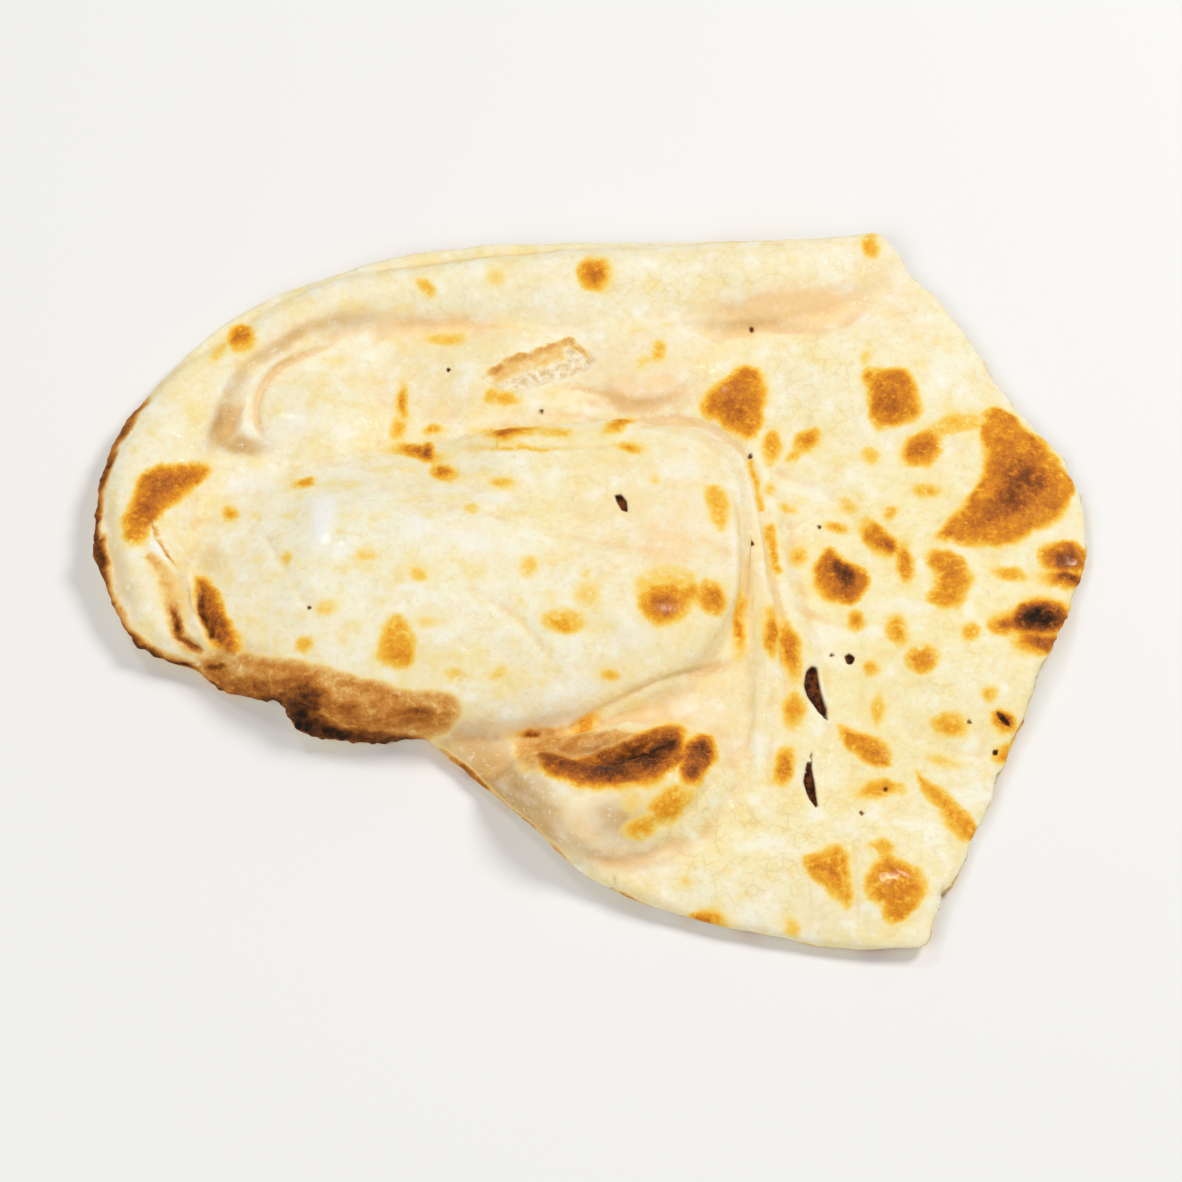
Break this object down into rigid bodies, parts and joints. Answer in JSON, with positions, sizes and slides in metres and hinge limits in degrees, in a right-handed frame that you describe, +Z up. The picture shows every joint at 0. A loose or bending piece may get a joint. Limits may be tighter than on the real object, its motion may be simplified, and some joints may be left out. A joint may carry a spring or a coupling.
{
  "type": "butter naan",
  "caption": "Torn half of a butter naan flatbread with a puffed pillow, blisters, a rolled rim and toast marks, for plates, baskets and table scenes.",
  "frame": {"origin": "centre of the bounding box at the base, on the flat underside that rests on the table", "axes": "+Z up out of the table, +X along the bread from its rounded crust end to the torn side, +Y across it towards the rolled upper rim"},
  "size_m": [0.2274, 0.189, 0.0209],
  "materials": {
    "baked_dough": "satin, brushed with butter, toasted brown in spots"
  },
  "bodies": {
    "root": {"naan": "baked_dough"}
  },
  "joints": []
}
